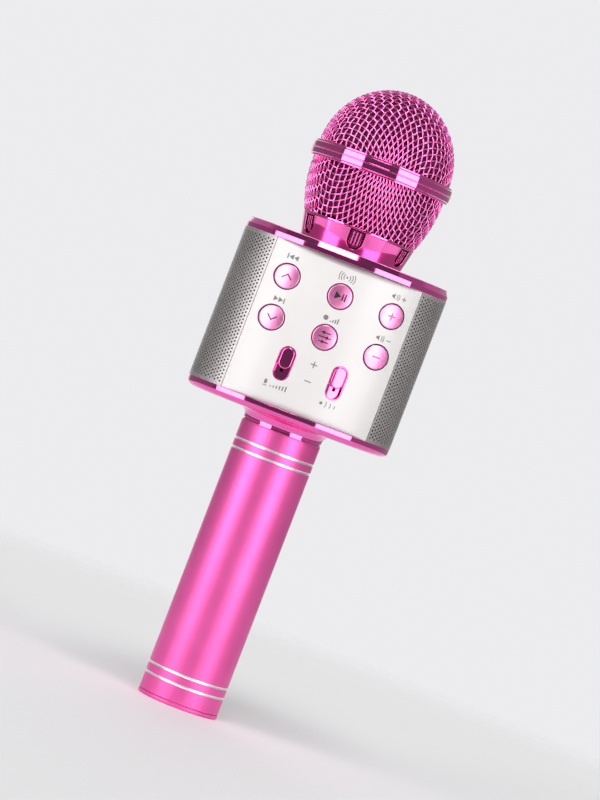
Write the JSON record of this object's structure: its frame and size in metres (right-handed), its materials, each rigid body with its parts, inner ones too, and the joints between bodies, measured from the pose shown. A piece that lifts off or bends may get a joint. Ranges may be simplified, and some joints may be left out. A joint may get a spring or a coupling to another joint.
{
  "type": "toy microphone",
  "caption": "Handheld karaoke microphone: tube handle, speaker box with a button and slider panel, and a woven ball grille on a neck.",
  "frame": {"origin": "centre of the flat end face of the handle's tail cap", "axes": "+Z along the microphone towards the grille, the control panel faces -Y, +X on the right as seen from the front"},
  "size_m": [0.082, 0.0605, 0.2489],
  "materials": {
    "satin_pink": "anodised satin pink, fine grain",
    "chrome_pink": "pink-tinted chrome plating",
    "panel_white": "semi-gloss warm white",
    "sheet_silver": "silver perforated sheet",
    "wire_pink": "pink metallic woven wire",
    "foam": "dark maroon open-cell foam",
    "black_plastic": "matte black",
    "clear_plastic": "milky clear light pipe",
    "rubber": "matt black rubber",
    "cloth": "black acoustic cloth",
    "paper_cone": "black cone",
    "steel": "nickel-plated steel",
    "magnet": "dark ferrite and steel",
    "board": "green circuit board",
    "cell": "shrink-wrapped cell",
    "brass": "plain",
    "lead": "insulated lead"
  },
  "bodies": {
    "housing": {"handle_tube": "satin_pink", "battery_cell": "cell", "battery_sleeve": "black_plastic", "battery_contact": "brass", "battery_lead": "lead", "lower_shell": "chrome_pink", "upper_shell": "chrome_pink", "front_panel": "panel_white", "rear_panel": "panel_white", "left_speaker_mesh": "sheet_silver", "right_speaker_mesh": "sheet_silver", "left_dust_cloth": "cloth", "right_dust_cloth": "cloth", "left_baffle": "black_plastic", "right_baffle": "black_plastic", "left_speaker_basket": "steel", "right_speaker_basket": "steel", "left_speaker_cone": "paper_cone", "right_speaker_cone": "paper_cone", "left_speaker_magnet": "magnet", "right_speaker_magnet": "magnet", "main_board": "board", "port_board": "board", "tact_switches": "black_plastic", "left_slider_well": "chrome_pink", "right_slider_well": "chrome_pink", "left_slider_pot": "steel", "right_slider_pot": "steel", "usb_socket": "steel", "audio_jack": "black_plastic", "charge_socket": "steel", "card_slot": "steel", "power_switch_body": "steel", "indicator_light": "clear_plastic", "neck_ring": "chrome_pink", "neck_clips": "chrome_pink", "mic_capsule": "steel", "capsule_cradle": "rubber", "capsule_post": "black_plastic", "capsule_lead": "lead", "rear_screws": "steel", "board_screws": "steel", "speaker_screws": "steel", "neck_screws": "steel"},
    "tail_cap": {"tail_cap": "satin_pink"},
    "cap_travel": {"battery_spring": "steel"},
    "grille_head": {"grille_thread_ring": "chrome_pink", "lower_grille": "wire_pink", "grille_band": "chrome_pink", "upper_grille": "wire_pink"},
    "head_travel": {"foam_windscreen": "foam"},
    "left_slider": {"left_slider_knob": "chrome_pink"},
    "right_slider": {"right_slider_knob": "chrome_pink"},
    "power_switch": {"power_switch_knob": "black_plastic"},
    "previous_button": {"previous_button": "chrome_pink"},
    "next_button": {"next_button": "chrome_pink"},
    "play_button": {"play_button": "chrome_pink"},
    "mode_button": {"mode_button": "chrome_pink"},
    "plus_button": {"plus_button": "chrome_pink"},
    "minus_button": {"minus_button": "chrome_pink"}
  },
  "joints": [
    {"name": "previous_press", "type": "slide", "parent": "housing", "child": "previous_button", "axis": [0, 1, 0], "range_m": [0, 0.0006], "stiffness_N_per_m": 800, "springref_m": -0.0006},
    {"name": "next_press", "type": "slide", "parent": "housing", "child": "next_button", "axis": [0, 1, 0], "range_m": [0, 0.0006], "stiffness_N_per_m": 800, "springref_m": -0.0006},
    {"name": "play_press", "type": "slide", "parent": "housing", "child": "play_button", "axis": [0, 1, 0], "range_m": [0, 0.0006], "stiffness_N_per_m": 800, "springref_m": -0.0006},
    {"name": "mode_press", "type": "slide", "parent": "housing", "child": "mode_button", "axis": [0, 1, 0], "range_m": [0, 0.0006], "stiffness_N_per_m": 800, "springref_m": -0.0006},
    {"name": "plus_press", "type": "slide", "parent": "housing", "child": "plus_button", "axis": [0, 1, 0], "range_m": [0, 0.0006], "stiffness_N_per_m": 800, "springref_m": -0.0006},
    {"name": "minus_press", "type": "slide", "parent": "housing", "child": "minus_button", "axis": [0, 1, 0], "range_m": [0, 0.0006], "stiffness_N_per_m": 800, "springref_m": -0.0006},
    {"name": "left_slider_travel", "type": "slide", "parent": "housing", "child": "left_slider", "axis": [0, 0, -1], "range_m": [0, 0.0042]},
    {"name": "right_slider_travel", "type": "slide", "parent": "housing", "child": "right_slider", "axis": [0, 0, -1], "range_m": [0, 0.0042]},
    {"name": "power_switch_travel", "type": "slide", "parent": "housing", "child": "power_switch", "axis": [1, 0, 0], "range_m": [0, 0.003]},
    {"name": "cap_travel", "type": "slide", "parent": "housing", "child": "cap_travel", "axis": [0, 0, -1], "range_m": [0, 0.0041]},
    {"name": "cap_turn", "type": "hinge", "parent": "cap_travel", "child": "tail_cap", "pos_m": [0, 0, 0], "axis": [0, 0, -1], "range_deg": [0, 720]},
    {"name": "head_travel", "type": "slide", "parent": "housing", "child": "head_travel", "axis": [0, 0, 1], "range_m": [0, 0.0061]},
    {"name": "head_turn", "type": "hinge", "parent": "head_travel", "child": "grille_head", "pos_m": [0, 0, 0.1925], "axis": [0, 0, 1], "range_deg": [0, 720]}
  ],
  "couplings": [
    {"joint": "cap_travel", "follows": "cap_turn", "m_per_rad": 0.00031831},
    {"joint": "head_travel", "follows": "head_turn", "m_per_rad": 0.00047746}
  ]
}
